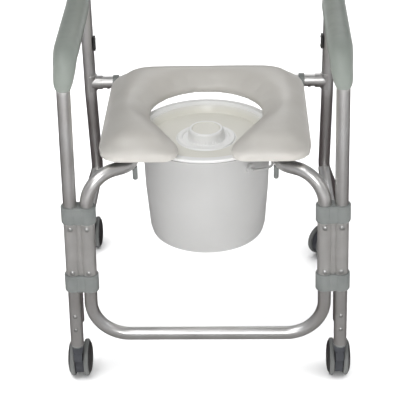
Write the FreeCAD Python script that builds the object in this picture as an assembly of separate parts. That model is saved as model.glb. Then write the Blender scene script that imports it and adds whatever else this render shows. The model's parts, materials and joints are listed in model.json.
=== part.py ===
"""Wheeled aluminium commode chair: bent tube frame, hinged padded seat, sliding pail, four twin-wheel casters.

Millimetres, +Z up, front of the chair towards -Y. Left is -X and right is +X, as seen from the front.
Heights are above the floor. Depths in this file are measured back from the plane of the front legs,
and every part is shifted by ORIGIN_DEPTH when it is written, so the origin is on the floor at the middle.
"""
import FreeCAD, Part
import math
import os

V = FreeCAD.Vector
X_AXIS = V(1, 0, 0)
Y_AXIS = V(0, 1, 0)
Z_AXIS = V(0, 0, 1)
SIDES = {"left": -1, "right": 1}

# Whole chair
ORIGIN_DEPTH = 271.6
TUBE_R = 12.7
TUBE_WALL = 1.6
SADDLE_TRIM = 1.0
LEG_SPLAY = 0.022

# Front legs and arms
LEG_HALF_SPAN = 257.0
SPLAY_HEIGHT = 300.0
LEG_BOTTOM = 90.0
ARM_HEIGHT = 700.0
ARM_BEND = 62.0
ARM_PAD_HALF = 22.5
ARM_PAD_FRONT_LOW = 643.0
ARM_PAD_REAR = 345.0

# Front frame: one tube that makes the lower bar, both verticals and both seat rails
TWIN_GAP = 31.5
TWIN_SPACING = TWIN_GAP * math.cos(math.atan(LEG_SPLAY))
LOWER_BAR_HEIGHT = 115.0
LOWER_BEND = 74.0
RAIL_HEIGHT = 467.0
RAIL_HALF_SPAN = 140.0
RAIL_BEND = 60.0
RAIL_TURN = 38.0
RAIL_SWEEP_DEG = 30.0

# Back frame
UPRIGHT_HALF_SPAN = 255.0
UPRIGHT_DEPTH = 434.6
RAKE_HEIGHT = 437.0
RAKE = 0.14
KINK_HEIGHT = 245.0
FOOT_HALF_SPAN = 286.0
FOOT_DEPTH = 500.0
FOOT_STRAIGHT = 148.0
RECLINE_HEIGHT = 742.0
RECLINE = 0.17
TOP_BAR_HEIGHT = 930.0
TOP_BAR_HALF_SPAN = 248.0

# Backrest, along the reclined uprights from where the recline starts
BACK_BOARD_THICK = 8.0
BACK_PAD_THICK = 26.0
BACK_MIDDLE = 78.0

# Side rails
SIDE_RAIL_HEIGHT = 240.0
SIDE_RAIL_DEPTH = 26.4
SIDE_RAIL_END = 129.0
SIDE_RAIL_BEND = 45.0

# Twin-tube sleeves and their collars
SLEEVE_R = 13.9
SLEEVE_LOW = 225.0
SLEEVE_HIGH = 404.0
COLLAR_R = 17.2
COLLAR_WAIST = 2.4
COLLAR_SPANS = {"lower": (221.0, 258.0), "upper": (372.0, 408.0)}
SLEEVE_RIVET_HEIGHTS = (265.0, 362.0)
RIVET_R = 2.6
RIVET_HEAD_R = 5.2
RAIL_BOLT_HEIGHT = 163.0
SOCKET_PIN_HEIGHT = 131.0

# Seat
SEAT_HALF = 198.0
SEAT_FRONT = 3.0
SEAT_BACK = 402.0
SEAT_LOW = 492.0
SEAT_HIGH = 530.0
SEAT_BOARD_THICK = 8.0
SEAT_BOARD_INSET = 11.0
SEAT_FRONT_CORNER = 42.0
SEAT_BACK_CORNER = 74.0
OPENING_CENTRE = 203.0
OPENING_R = 112.0
OPENING_NECK_HALF = 49.0
CLIP_SPAN = 85.0
CLIP_WIDTH = 26.0
CLIP_R = 17.0
CLIP_PLAY = 0.05

# Pail, lid and bail
PAIL_DEPTH = 156.0
PAIL_RIM = 480.0
PAIL_BOTTOM = 268.0
PAIL_WALL = 2.5
PAIL_TOP_R = 124.5
PAIL_FLANGE_R = 139.5
FLANGE_THICK = 4.0
LID_R = 137.5
LID_TOP = 490.5
LID_GAP = 0.3
LID_FLOOR = 470.0
KNOB_R = 37.0
KNOB_HEIGHT = 21.0
BAIL_PIVOT = 451.0
BAIL_TURN_DEG = -48.0
BAIL_R = 134.0
BAIL_WIRE_R = 2.5
BAIL_HANG_DEG = 20.0

# Casters
WHEEL_R = 37.5
WHEEL_IN = 9.0
WHEEL_OUT = 22.0
CASTER_TRAIL = 28.0
AXLE_R = 4.0
STEM_R = 5.5
RUN_PLAY = 0.05
NECK_TOP = 85.6
SOCKET_FLANGE_LOW = 87.2

CASTERS = {
    "front_left": (-1, "front", 90.0),
    "front_right": (1, "front", 90.0),
    "rear_left": (-1, "rear", 90.0),
    "rear_right": (1, "rear", 218.0),
}


def leg_x(z):
    """Half span of the splayed front legs at a height."""
    return LEG_HALF_SPAN - LEG_SPLAY * (z - SPLAY_HEIGHT)


def rake_y(z):
    """Depth of the raked lower part of the back frame at a height."""
    return UPRIGHT_DEPTH + RAKE * (RAKE_HEIGHT - z)


def write(name, shape):
    """Write one node, moved from leg-plane depths to the chair's own origin."""
    moved = shape.copy()
    moved.translate(V(0, -ORIGIN_DEPTH, 0))
    if not moved.isValid():
        print("NOT VALID", name)
    moved.exportStep("parts/%s.step" % name)
    box = moved.BoundBox
    print("%-26s %8.1f cm3  x %7.1f %7.1f  y %7.1f %7.1f  z %6.1f %6.1f" % (
        name, moved.Volume / 1000, box.XMin, box.XMax, box.YMin, box.YMax, box.ZMin, box.ZMax))


def rounded_path(points, radii):
    """Wire of straight runs joined by tangent arcs, one radius for each inner point."""
    edges = []
    start = points[0]
    for i in range(1, len(points) - 1):
        corner = points[i]
        back = (points[i - 1] - corner).normalize()
        ahead = (points[i + 1] - corner).normalize()
        half = back.getAngle(ahead) / 2
        cut = radii[i - 1] / math.tan(half)
        enter = corner + back * cut
        leave = corner + ahead * cut
        middle_dir = (back + ahead).normalize()
        centre = corner + middle_dir * (radii[i - 1] / math.sin(half))
        middle = centre - middle_dir * radii[i - 1]
        edges.append(Part.LineSegment(start, enter).toShape())
        edges.append(Part.Arc(enter, middle, leave).toShape())
        start = leave
    edges.append(Part.LineSegment(start, points[-1]).toShape())
    return Part.Wire(edges)


def sweep(path, radius):
    """Solid round bar of one radius along a path."""
    first = path.OrderedEdges[0]
    start = first.valueAt(first.FirstParameter)
    heading = first.tangentAt(first.FirstParameter)
    ring = Part.Wire([Part.makeCircle(radius, start, heading)])
    return path.makePipeShell([ring], True, False)


def tube(path, radius=TUBE_R, wall=TUBE_WALL):
    """Hollow round tube, open at both ends."""
    return sweep(path, radius).cut(sweep(path, radius - wall))


def rod(start, end, radius):
    """Round bar between two points."""
    return Part.makeCylinder(radius, (end - start).Length, start, end - start)


def ring(start, end, outer, inner):
    """Hollow round bar between two points."""
    return rod(start, end, outer).cut(rod(start, end, inner))


def centred_box(width, depth, height, centre):
    """Box about its own centre."""
    return Part.makeBox(width, depth, height, centre - V(width / 2, depth / 2, height / 2))


def fuse_all(shapes):
    """One clean solid from several that touch or overlap."""
    whole = shapes[0]
    for shape in shapes[1:]:
        whole = whole.fuse(shape)
    return whole.removeSplitter()


def mirrored(shape):
    """Copy on the other side of the chair."""
    return shape.mirror(V(0, 0, 0), X_AXIS)


def softened(shape, edges, radii):
    """Fillet the chosen edges with the first radius that works."""
    for radius in radii:
        try:
            result = shape.makeFillet(radius, edges)
            if result.isValid():
                return result
        except Exception:
            pass
    print("fillet left out")
    return shape


def domed_pin(start, end, radius, head_r):
    """Rivet with a low dome on its front end, which is the start."""
    heading = (end - start).normalize()
    shank = rod(start, end, radius)
    sphere_r = head_r * 1.25
    sink = math.sqrt(sphere_r ** 2 - head_r ** 2)
    ball = Part.makeSphere(sphere_r, start + heading * sink)
    behind = Part.makeCylinder(sphere_r * 2, sphere_r * 3, start, heading)
    return shank.fuse(ball.cut(behind)).removeSplitter()


# ---------------------------------------------------------------- frame tubes

def arm_path(side):
    """Front leg, bend and arm of one side."""
    low = V(side * leg_x(LEG_BOTTOM), 0, LEG_BOTTOM)
    corner = V(side * leg_x(ARM_HEIGHT), 0, ARM_HEIGHT)
    rear = V(side * UPRIGHT_HALF_SPAN, UPRIGHT_DEPTH - SADDLE_TRIM, ARM_HEIGHT)
    return rounded_path([low, corner, rear], [ARM_BEND])


def upright_core(side, radius):
    """Straight stretch of the back frame's upright, for cutting saddles."""
    low = V(side * UPRIGHT_HALF_SPAN, UPRIGHT_DEPTH, RAKE_HEIGHT + 10)
    return Part.makeCylinder(radius, RECLINE_HEIGHT - RAKE_HEIGHT - 30, low, Z_AXIS)


def arm_tube(side):
    """Front leg and arm, saddled onto the upright."""
    return tube(arm_path(side)).cut(upright_core(side, TUBE_R))


def front_frame_path():
    """Lower bar, both verticals and both seat rails in one bent tube."""
    def half(side):
        low_x = side * (leg_x(LOWER_BAR_HEIGHT) - TWIN_GAP)
        top_x = side * (leg_x(RAIL_HEIGHT) - TWIN_GAP)
        reach = abs(top_x) - RAIL_HALF_SPAN
        turn = V(side * RAIL_HALF_SPAN, reach * math.tan(math.radians(RAIL_SWEEP_DEG)), RAIL_HEIGHT)
        return [
            V(low_x, 0, LOWER_BAR_HEIGHT),
            V(top_x, 0, RAIL_HEIGHT),
            turn,
            V(side * RAIL_HALF_SPAN, UPRIGHT_DEPTH - SADDLE_TRIM, RAIL_HEIGHT),
        ]
    left = half(-1)
    right = half(1)
    bends = [RAIL_TURN, RAIL_BEND, LOWER_BEND, LOWER_BEND, RAIL_BEND, RAIL_TURN]
    return rounded_path(left[::-1] + right, bends)


def crossbar_core(radius):
    """Straight rear crossbar as a solid bar."""
    half = UPRIGHT_HALF_SPAN - SADDLE_TRIM
    return rod(V(-half, UPRIGHT_DEPTH, RAIL_HEIGHT), V(half, UPRIGHT_DEPTH, RAIL_HEIGHT), radius)


def front_frame_tube():
    """Front frame with its rails saddled onto the rear crossbar."""
    return tube(front_frame_path()).cut(crossbar_core(TUBE_R))


def rear_crossbar():
    """Tube between the uprights; the seat hinges on it."""
    bar = crossbar_core(TUBE_R).cut(crossbar_core(TUBE_R - TUBE_WALL))
    return bar.cut(upright_core(-1, TUBE_R)).cut(upright_core(1, TUBE_R))


def back_frame_path():
    """Both rear legs, uprights and the push bar in one bent tube."""
    def half(side):
        top_depth = UPRIGHT_DEPTH + RECLINE * (TOP_BAR_HEIGHT - RECLINE_HEIGHT)
        return [
            V(side * FOOT_HALF_SPAN, FOOT_DEPTH, LEG_BOTTOM),
            V(side * FOOT_HALF_SPAN, FOOT_DEPTH, FOOT_STRAIGHT),
            V(side * UPRIGHT_HALF_SPAN, rake_y(KINK_HEIGHT), KINK_HEIGHT),
            V(side * UPRIGHT_HALF_SPAN, UPRIGHT_DEPTH, RAKE_HEIGHT),
            V(side * UPRIGHT_HALF_SPAN, UPRIGHT_DEPTH, RECLINE_HEIGHT),
            V(side * TOP_BAR_HALF_SPAN, top_depth, TOP_BAR_HEIGHT),
        ]
    bends = [48, 70, 110, 150, 62]
    return rounded_path(half(-1) + half(1)[::-1], bends + bends[::-1])


def side_rail(side):
    """Low stretcher: bent down behind the front leg, saddled onto the rear leg."""
    front_x = side * leg_x(SIDE_RAIL_HEIGHT)
    low = V(side * leg_x(SIDE_RAIL_END), SIDE_RAIL_DEPTH, SIDE_RAIL_END)
    corner = V(front_x, SIDE_RAIL_DEPTH, SIDE_RAIL_HEIGHT)
    rear = V(side * UPRIGHT_HALF_SPAN, rake_y(SIDE_RAIL_HEIGHT) - SADDLE_TRIM, SIDE_RAIL_HEIGHT)
    bar = tube(rounded_path([low, corner, rear], [SIDE_RAIL_BEND]))
    return bar.cut(sweep(back_frame_path(), TUBE_R))


# ---------------------------------------------------------------- twin-tube joints

def on_twin(side, shape):
    """Move a shape built about the middle of two upright tubes onto the splayed pair."""
    tilt = math.degrees(math.atan(LEG_SPLAY))
    moved = shape.copy()
    moved.rotate(V(0, 0, SPLAY_HEIGHT), Y_AXIS, -side * tilt)
    moved.translate(V(side * (LEG_HALF_SPAN - TWIN_GAP / 2), 0, 0))
    return moved


def twin_bar(radius, low, high):
    """Two upright bars at the twin spacing."""
    bars = []
    for offset in (-TWIN_SPACING / 2, TWIN_SPACING / 2):
        bars.append(Part.makeCylinder(radius, high - low, V(offset, 0, low), Z_AXIS))
    return bars


def sleeve(side):
    """Thin figure-eight sleeve round the leg and the front frame's vertical."""
    outer = twin_bar(SLEEVE_R, SLEEVE_LOW, SLEEVE_HIGH)
    web_r = 9.5
    web = Part.makeCylinder(web_r, SLEEVE_HIGH - SLEEVE_LOW, V(0, 0, SLEEVE_LOW), Z_AXIS)
    body = fuse_all(outer + [web])
    for bore in twin_bar(TUBE_R, SLEEVE_LOW, SLEEVE_HIGH):
        body = body.cut(bore)
    return on_twin(side, body)


def collar(side, low, high):
    """Moulded collar that closes one end of a sleeve."""
    height = high - low
    body = fuse_all(twin_bar(COLLAR_R, low, high) + [
        centred_box(TWIN_GAP, (COLLAR_R - COLLAR_WAIST) * 2, height, V(0, 0, low + height / 2))])
    rims = [e for e in body.Edges if abs(e.BoundBox.ZMax - e.BoundBox.ZMin) < 0.01]
    body = softened(body, rims, (2.5, 2.0, 1.2))
    inner_low = max(low, SLEEVE_LOW)
    inner_high = min(high, SLEEVE_HIGH)
    for bore in twin_bar(TUBE_R, low, high) + twin_bar(SLEEVE_R, inner_low, inner_high):
        body = body.cut(bore)
    web = Part.makeCylinder(9.5, inner_high - inner_low, V(0, 0, inner_low), Z_AXIS)
    return on_twin(side, body.cut(web))


def sleeve_rivets():
    """Rivets through the sleeves, two tubes wide at two heights on each side."""
    pins = []
    for side in SIDES.values():
        for height in SLEEVE_RIVET_HEIGHTS:
            for offset in (-TWIN_SPACING / 2, TWIN_SPACING / 2):
                front = V(offset, -SLEEVE_R - 0.1, height)
                pins.append(on_twin(side, domed_pin(front, V(offset, -TUBE_R + TUBE_WALL, height),
                                                    RIVET_R, RIVET_HEAD_R)))
    return Part.makeCompound(pins)


def leg_rivets():
    """Low on each front leg: the side rail's bolt and the caster socket's pin."""
    pins = []
    for side in SIDES.values():
        for height, reach in ((RAIL_BOLT_HEIGHT, SIDE_RAIL_DEPTH), (SOCKET_PIN_HEIGHT, -3.0)):
            x = side * leg_x(height)
            pins.append(domed_pin(V(x, -TUBE_R - 0.1, height), V(x, reach, height), 2.2, 4.3))
    return Part.makeCompound(pins)


def without_pins(shape, holes):
    """Cut a group of rivets or screws out of a part."""
    for pin in holes.Solids:
        shape = shape.cut(pin)
    return shape


# ---------------------------------------------------------------- crossbar and arm fittings

def crossbar_saddle(side):
    """Cast saddle that seats the crossbar on the upright."""
    centre = V(side * UPRIGHT_HALF_SPAN, UPRIGHT_DEPTH, RAIL_HEIGHT)
    wrap_r = TUBE_R + 2.6
    wrap = Part.makeCylinder(wrap_r, 34, centre - V(0, 0, 17), Z_AXIS)
    inner_half = centred_box(wrap_r, wrap_r * 2, 40, centre - V(side * wrap_r / 2, 0, 0))
    socket = rod(centre, centre - V(side * 27, 0, 0), TUBE_R + 2.2)
    body = fuse_all([wrap.common(inner_half), socket])
    return body.cut(upright_core(side, TUBE_R)).cut(crossbar_core(TUBE_R))


def crossbar_bush(side):
    """Plastic bush that keeps the seat's hinge centred on the crossbar."""
    outer = V(side * 205, UPRIGHT_DEPTH, RAIL_HEIGHT)
    inner = V(side * 193, UPRIGHT_DEPTH, RAIL_HEIGHT)
    return ring(outer, inner, TUBE_R + 3.0, TUBE_R)


def crossbar_rivets():
    """Rivet under each end of the crossbar, through the saddle's bush."""
    pins = []
    for side in SIDES.values():
        x = side * 216
        low = V(x, UPRIGHT_DEPTH - 3, RAIL_HEIGHT - TUBE_R - 0.1)
        pins.append(domed_pin(low, low + V(0, 0, 4), 2.0, 3.4))
    return Part.makeCompound(pins)


def arm_clamp(side):
    """Tee fitting that holds the rear end of the arm to the upright."""
    centre = V(side * UPRIGHT_HALF_SPAN, UPRIGHT_DEPTH - SADDLE_TRIM, ARM_HEIGHT)
    arm_dir = (V(side * leg_x(ARM_HEIGHT), 0, ARM_HEIGHT) - centre).normalize()
    hoop = Part.makeCylinder(TUBE_R + 3.2, 38, centre + V(0, SADDLE_TRIM, -19), Z_AXIS)
    socket = rod(centre, centre + arm_dir * 48, TUBE_R + 2.8)
    body = fuse_all([hoop, socket])
    return body.cut(upright_core(side, TUBE_R)).cut(rod(centre, centre + arm_dir * 60, TUBE_R))


def belt_anchors():
    """Black anchor plate on the inside of each upright."""
    plates = []
    for side in SIDES.values():
        face_x = side * (UPRIGHT_HALF_SPAN - TUBE_R)
        plate = centred_box(4.0, 13.0, 30.0, V(face_x - side * 2.0, UPRIGHT_DEPTH - 2, 558))
        plates.append(plate.cut(upright_core(side, TUBE_R)))
    return Part.makeCompound(plates)


def belt_anchor_rivets():
    """Two rivets through each anchor plate."""
    pins = []
    for side in SIDES.values():
        face_x = side * (UPRIGHT_HALF_SPAN - TUBE_R - 4.1)
        for height in (548.0, 568.0):
            front = V(face_x, UPRIGHT_DEPTH - 2, height)
            pins.append(domed_pin(front, front + V(side * 5.6, 0, 0), 1.8, 3.2))
    return Part.makeCompound(pins)


def rail_pegs():
    """Round-ended stop peg pressed up into the underside of each seat rail."""
    pegs = []
    for side in SIDES.values():
        foot = V(side * 134, 60, 430)
        peg = Part.makeCylinder(5.0, RAIL_HEIGHT - TUBE_R + 3 - foot.z, foot, Z_AXIS)
        low_rim = [e for e in peg.Edges if e.BoundBox.ZMax < foot.z + 0.1]
        pegs.append(peg.makeFillet(3.5, low_rim))
    return Part.makeCompound(pegs)


# ---------------------------------------------------------------- arm pads

def arm_pad(side):
    """Moulded grip round the front bend and the arm."""
    leg_dir = (V(side * leg_x(ARM_HEIGHT), 0, ARM_HEIGHT)
               - V(side * leg_x(LEG_BOTTOM), 0, LEG_BOTTOM)).normalize()
    corner = V(side * leg_x(ARM_HEIGHT), 0, ARM_HEIGHT)
    low = corner - leg_dir * (ARM_HEIGHT - ARM_PAD_FRONT_LOW)
    rear = V(side * UPRIGHT_HALF_SPAN, UPRIGHT_DEPTH - SADDLE_TRIM, ARM_HEIGHT)
    arm_dir = (rear - corner).normalize()
    back = corner + arm_dir * ARM_PAD_REAR
    short_bend = 55.0
    body = sweep(rounded_path([low, corner, back], [short_bend]), ARM_PAD_HALF)
    ends = [e for e in body.Edges if e.Closed and (
        abs(e.CenterOfMass.distanceToPoint(low)) < 1 or abs(e.CenterOfMass.distanceToPoint(back)) < 1)]
    body = softened(body, ends, (7.0, 5.0, 3.0))
    return body.cut(sweep(arm_path(side), TUBE_R))


# ---------------------------------------------------------------- backrest

def on_recline(shape):
    """Lay a shape built upright at the recline point back along the reclined uprights."""
    moved = shape.copy()
    moved.translate(V(0, UPRIGHT_DEPTH, RECLINE_HEIGHT))
    moved.rotate(V(0, UPRIGHT_DEPTH, RECLINE_HEIGHT), X_AXIS, -math.degrees(math.atan(RECLINE)))
    return moved


def rounded_slab(width, thick, height, corner, centre):
    """Upright slab with rounded corners in the XZ plane."""
    slab = centred_box(width, thick, height, centre)
    across = [e for e in slab.Edges
              if abs(e.BoundBox.YMax - e.BoundBox.YMin) > thick * 0.9]
    return slab.makeFillet(corner, across)


def backrest_board():
    """Flat board screwed to the front of the reclined uprights."""
    y = -TUBE_R - BACK_BOARD_THICK / 2
    slab = rounded_slab(516, BACK_BOARD_THICK, 130, 24, V(0, y, BACK_MIDDLE))
    for pin in back_screw_solids():
        slab = slab.cut(pin)
    return on_recline(slab)


def backrest_pad():
    """Upholstered pad on the backrest board."""
    y = -TUBE_R - BACK_BOARD_THICK - BACK_PAD_THICK / 2
    slab = rounded_slab(520, BACK_PAD_THICK, 134, 26, V(0, y, BACK_MIDDLE))
    front = [e for e in slab.Edges if e.BoundBox.YMax < y - BACK_PAD_THICK / 2 + 0.1]
    return on_recline(softened(slab, front, (9.0, 6.0)))


def back_screw_solids():
    """Backrest screws in the upright's own frame, head behind the tube."""
    pins = []
    for side in SIDES.values():
        for height in (BACK_MIDDLE - 42, BACK_MIDDLE + 36):
            lean = (UPRIGHT_HALF_SPAN - TOP_BAR_HALF_SPAN) / (TOP_BAR_HEIGHT - RECLINE_HEIGHT)
            x = side * (UPRIGHT_HALF_SPAN - lean * height)
            start = V(x, TUBE_R + 0.1, height)
            pins.append(domed_pin(start, V(x, -TUBE_R - BACK_BOARD_THICK + 1, height), 2.2, 4.5))
    return pins


def backrest_screws():
    """Four screws that hold the backrest board."""
    return on_recline(Part.makeCompound(back_screw_solids()))


# ---------------------------------------------------------------- seat

def seat_outline(inset=0.0):
    """Face of the horseshoe seat in plan: rounded square less a keyhole open to the front."""
    half = SEAT_HALF - inset
    front = SEAT_FRONT + inset
    back = SEAT_BACK - inset
    front_r = SEAT_FRONT_CORNER - inset
    back_r = SEAT_BACK_CORNER - inset
    neck = OPENING_NECK_HALF + inset
    lobe_r = 28.0 - inset * 0.8
    hole_r = OPENING_R + inset
    z = SEAT_LOW

    def quarter(centre, radius, start_deg):
        """Three points of a quarter arc."""
        points = []
        for turn in (0, 45, 90):
            a = math.radians(start_deg + turn)
            points.append(V(centre.x + radius * math.cos(a), centre.y + radius * math.sin(a), z))
        return points

    lobe = quarter(V(neck + lobe_r, front + lobe_r, z), lobe_r, 180)
    nose = quarter(V(half - front_r, front + front_r, z), front_r, 270)
    heel = quarter(V(half - back_r, back - back_r, z), back_r, 0)
    shoulder = V(hole_r, OPENING_CENTRE, z)
    rear = V(0, OPENING_CENTRE + hole_r, z)
    diagonal = hole_r * math.sqrt(0.5)
    arc_middle = V(diagonal, OPENING_CENTRE + diagonal, z)
    neck_curve = Part.BSplineCurve()
    neck_curve.interpolate(
        Points=[lobe[0], V(neck + 13, front + 70, z), V(neck + 38, front + 122, z), shoulder],
        InitialTangent=V(0, 1, 0), FinalTangent=V(0, 1, 0))
    half_edges = [
        Part.Arc(rear, arc_middle, shoulder).toShape(),
        neck_curve.toShape(),
        Part.Arc(*lobe).toShape(),
        Part.LineSegment(lobe[2], nose[0]).toShape(),
        Part.Arc(*nose).toShape(),
        Part.LineSegment(nose[2], heel[0]).toShape(),
        Part.Arc(*heel).toShape(),
        Part.LineSegment(heel[2], V(0, back, z)).toShape(),
    ]
    edges = half_edges + [mirrored(e) for e in half_edges]
    wire = Part.Wire(Part.__sortEdges__(edges))
    return Part.Face(wire)


def seat_board():
    """Stiff board under the padding."""
    board = seat_outline(SEAT_BOARD_INSET).extrude(V(0, 0, SEAT_BOARD_THICK))
    for pin in seat_screw_solids():
        board = board.cut(pin)
    return board


def seat_pad():
    """Upholstery over the top and sides of the board."""
    body = seat_outline().extrude(V(0, 0, SEAT_HIGH - SEAT_LOW))
    top = [e for e in body.Edges if e.BoundBox.ZMin > SEAT_HIGH - 0.1]
    body = softened(body, top, (12.0, 9.0, 6.0))
    pocket = seat_outline(SEAT_BOARD_INSET).extrude(V(0, 0, SEAT_BOARD_THICK))
    return body.cut(pocket)


def hinge_clip(side):
    """Snap clip under the back of the seat, round the crossbar."""
    x = side * CLIP_SPAN
    half = CLIP_WIDTH / 2
    centre = V(x - half, UPRIGHT_DEPTH, RAIL_HEIGHT)
    hoop = Part.makeCylinder(CLIP_R, CLIP_WIDTH, centre, X_AXIS)
    arm_front = SEAT_BACK - SEAT_BOARD_INSET - 34
    arm = Part.makeBox(CLIP_WIDTH, UPRIGHT_DEPTH - arm_front, 12,
                       V(x - half, arm_front, SEAT_LOW - 12.0))
    behind_seat = Part.makeBox(CLIP_WIDTH, 40, 20, V(x - half, UPRIGHT_DEPTH, SEAT_LOW - 12))
    body = fuse_all([hoop, arm])
    body = body.cut(Part.makeCylinder(TUBE_R + CLIP_PLAY, CLIP_WIDTH, centre, X_AXIS))
    mouth = Part.makeBox(CLIP_WIDTH, 15, CLIP_R + 5, V(x - half, UPRIGHT_DEPTH - 7.5, RAIL_HEIGHT - CLIP_R - 5))
    body = body.cut(mouth).cut(behind_seat)
    for pin in seat_screw_solids():
        body = body.cut(pin)
    return body


def seat_buffer(side):
    """Foot under the front of the seat that rests on the outer flank of its rail."""
    width = 22.0
    inner = RAIL_HALF_SPAN + 2.5
    block = Part.makeBox(width, 34, SEAT_LOW - RAIL_HEIGHT - 1,
                         V(side * (inner + width / 2) - width / 2, 100, RAIL_HEIGHT + 1))
    rail = Part.makeCylinder(TUBE_R + 0.3, 60, V(side * RAIL_HALF_SPAN, 90, RAIL_HEIGHT), Y_AXIS)
    block = block.cut(rail)
    for pin in seat_screw_solids():
        block = block.cut(pin)
    return block


def seat_screw_solids():
    """Screws up through the clips and buffers into the board."""
    pins = []
    for side in SIDES.values():
        for offset in (-7, 7):
            foot = V(side * CLIP_SPAN + offset, SEAT_BACK - SEAT_BOARD_INSET - 24, SEAT_LOW - 12.1)
            pins.append(domed_pin(foot, foot + V(0, 0, 17), 2.0, 3.6))
        foot = V(side * (RAIL_HALF_SPAN + 18.5), 117, RAIL_HEIGHT + 0.9)
        pins.append(domed_pin(foot, foot + V(0, 0, 29), 2.0, 3.6))
    return pins


# ---------------------------------------------------------------- pail

def lathe(points, z_axis_at):
    """Turn a closed outline of (radius, height) points about an upright axis."""
    corners = [V(r, 0, z) for r, z in points]
    outline = Part.makePolygon(corners + [corners[0]])
    solid = Part.Face(outline).revolve(V(0, 0, 0), Z_AXIS, 360)
    solid.translate(z_axis_at)
    return solid


PAIL_AXIS = V(0, PAIL_DEPTH, 0)


def bail_dir():
    """Horizontal direction of the bail's pivot axis."""
    a = math.radians(BAIL_TURN_DEG)
    return V(math.cos(a), math.sin(a), 0)


def pail():
    """Tapered pail with a flange that slides on the seat rails and two bail ears."""
    foot_r = 103.0
    low_r = 115.5
    mid_r = 121.8
    mid_z = 374.0
    heel_z = PAIL_BOTTOM + 20
    t = PAIL_WALL
    rim = PAIL_RIM
    top = PAIL_RIM + FLANGE_THICK
    outside = [(0, PAIL_BOTTOM), (foot_r - 6, PAIL_BOTTOM), (low_r - 3.5, PAIL_BOTTOM + 7),
               (low_r, heel_z), (mid_r, mid_z), (PAIL_TOP_R, rim), (PAIL_FLANGE_R, rim)]
    inside = [(PAIL_FLANGE_R, top), (PAIL_TOP_R - t, top), (mid_r - t, mid_z), (low_r - t, heel_z),
              (low_r - 3.5 - t, PAIL_BOTTOM + 7 + t), (foot_r - 6 - t, PAIL_BOTTOM + t),
              (0, PAIL_BOTTOM + t)]
    body = lathe(outside + inside, PAIL_AXIS)
    pivot = PAIL_AXIS + V(0, 0, BAIL_PIVOT)
    for sign in (-1, 1):
        start = pivot + bail_dir() * (sign * (PAIL_TOP_R - 3.0))
        end = pivot + bail_dir() * (sign * (BAIL_R - 3.2))
        ear = rod(start, end, 9.0)
        ear = ear.cut(rod(start, end, BAIL_WIRE_R + RUN_PLAY))
        body = body.fuse(ear)
    return body.removeSplitter()


def bail():
    """Wire handle hanging against the far side of the pail."""
    pivot = PAIL_AXIS + V(0, 0, BAIL_PIVOT)
    along = bail_dir()
    out = Z_AXIS.cross(along)
    hang = math.radians(BAIL_HANG_DEG)
    away = out * math.cos(hang) - Z_AXIS * math.sin(hang)
    turn = 14.0
    rim = BAIL_R
    inner = PAIL_TOP_R + 0.4
    bend_cos = math.sqrt(rim ** 2 - turn ** 2)
    pieces = []
    for sign in (-1, 1):
        lug_end = pivot + along * (sign * (rim + 2.5))
        pieces.append(rod(pivot + along * (sign * inner), lug_end, BAIL_WIRE_R))
        elbow = Part.makeSphere(BAIL_WIRE_R, lug_end)
        join = pivot + along * (sign * bend_cos) + away * turn
        pieces.append(elbow)
        pieces.append(rod(lug_end, join, BAIL_WIRE_R))
        pieces.append(Part.makeSphere(BAIL_WIRE_R, join))
    start = pivot + along * bend_cos + away * turn
    end = pivot + along * -bend_cos + away * turn
    arc = Part.Arc(start, pivot + away * rim, end)
    pieces.append(sweep(Part.Wire([arc.toShape()]), BAIL_WIRE_R))
    return fuse_all(pieces)


def pail_lid():
    """Dished lid with a raised ring round its knob."""
    skin = 2.4
    rim_in = LID_R - 12.0
    floor_r = 112.0
    low = PAIL_RIM + FLANGE_THICK + LID_GAP
    ring_r = 56.0
    profile = [(0, LID_FLOOR - skin), (floor_r, LID_FLOOR - skin), (floor_r + 7.0, low), (LID_R, low),
               (LID_R, LID_TOP - 2.0), (LID_R - 0.8, LID_TOP - 0.6), (LID_R - 2.4, LID_TOP), (rim_in, LID_TOP),
               (floor_r, LID_FLOOR), (ring_r + 1.5, LID_FLOOR), (ring_r - 0.5, LID_FLOOR + 2.4),
               (ring_r - 8.5, LID_FLOOR + 2.4), (ring_r - 10.5, LID_FLOOR), (0, LID_FLOOR)]
    return lathe(profile, PAIL_AXIS)


def lid_knob():
    """Ribbed grip on the lid."""
    low = LID_FLOOR
    high = LID_FLOOR + KNOB_HEIGHT
    profile = [(0, low), (KNOB_R - 0.5, low), (KNOB_R - 3.2, high - 2.5), (KNOB_R - 5.2, high),
               (KNOB_R - 9.0, high), (KNOB_R - 11.0, high - 1.5), (0, high - 1.5)]
    knob = lathe(profile, PAIL_AXIS)
    ribs = 36
    for i in range(ribs):
        a = 2 * math.pi * i / ribs
        foot = PAIL_AXIS + V((KNOB_R - 0.6) * math.cos(a), (KNOB_R - 0.6) * math.sin(a), low + 1)
        groove = Part.makeCylinder(1.3, KNOB_HEIGHT, foot, Z_AXIS)
        knob = knob.cut(groove)
    return knob


# ---------------------------------------------------------------- casters

def caster_spot(side, end):
    """Stem axis on the floor plane."""
    if end == "front":
        return V(side * leg_x(LEG_BOTTOM), 0, 0)
    return V(side * FOOT_HALF_SPAN, FOOT_DEPTH, 0)


def in_place(shape, spot, heading_deg):
    """Turn a caster part built trailing along +X, then stand it under its leg."""
    moved = shape.copy()
    moved.rotate(V(0, 0, 0), Z_AXIS, heading_deg)
    moved.translate(spot)
    return moved


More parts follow.
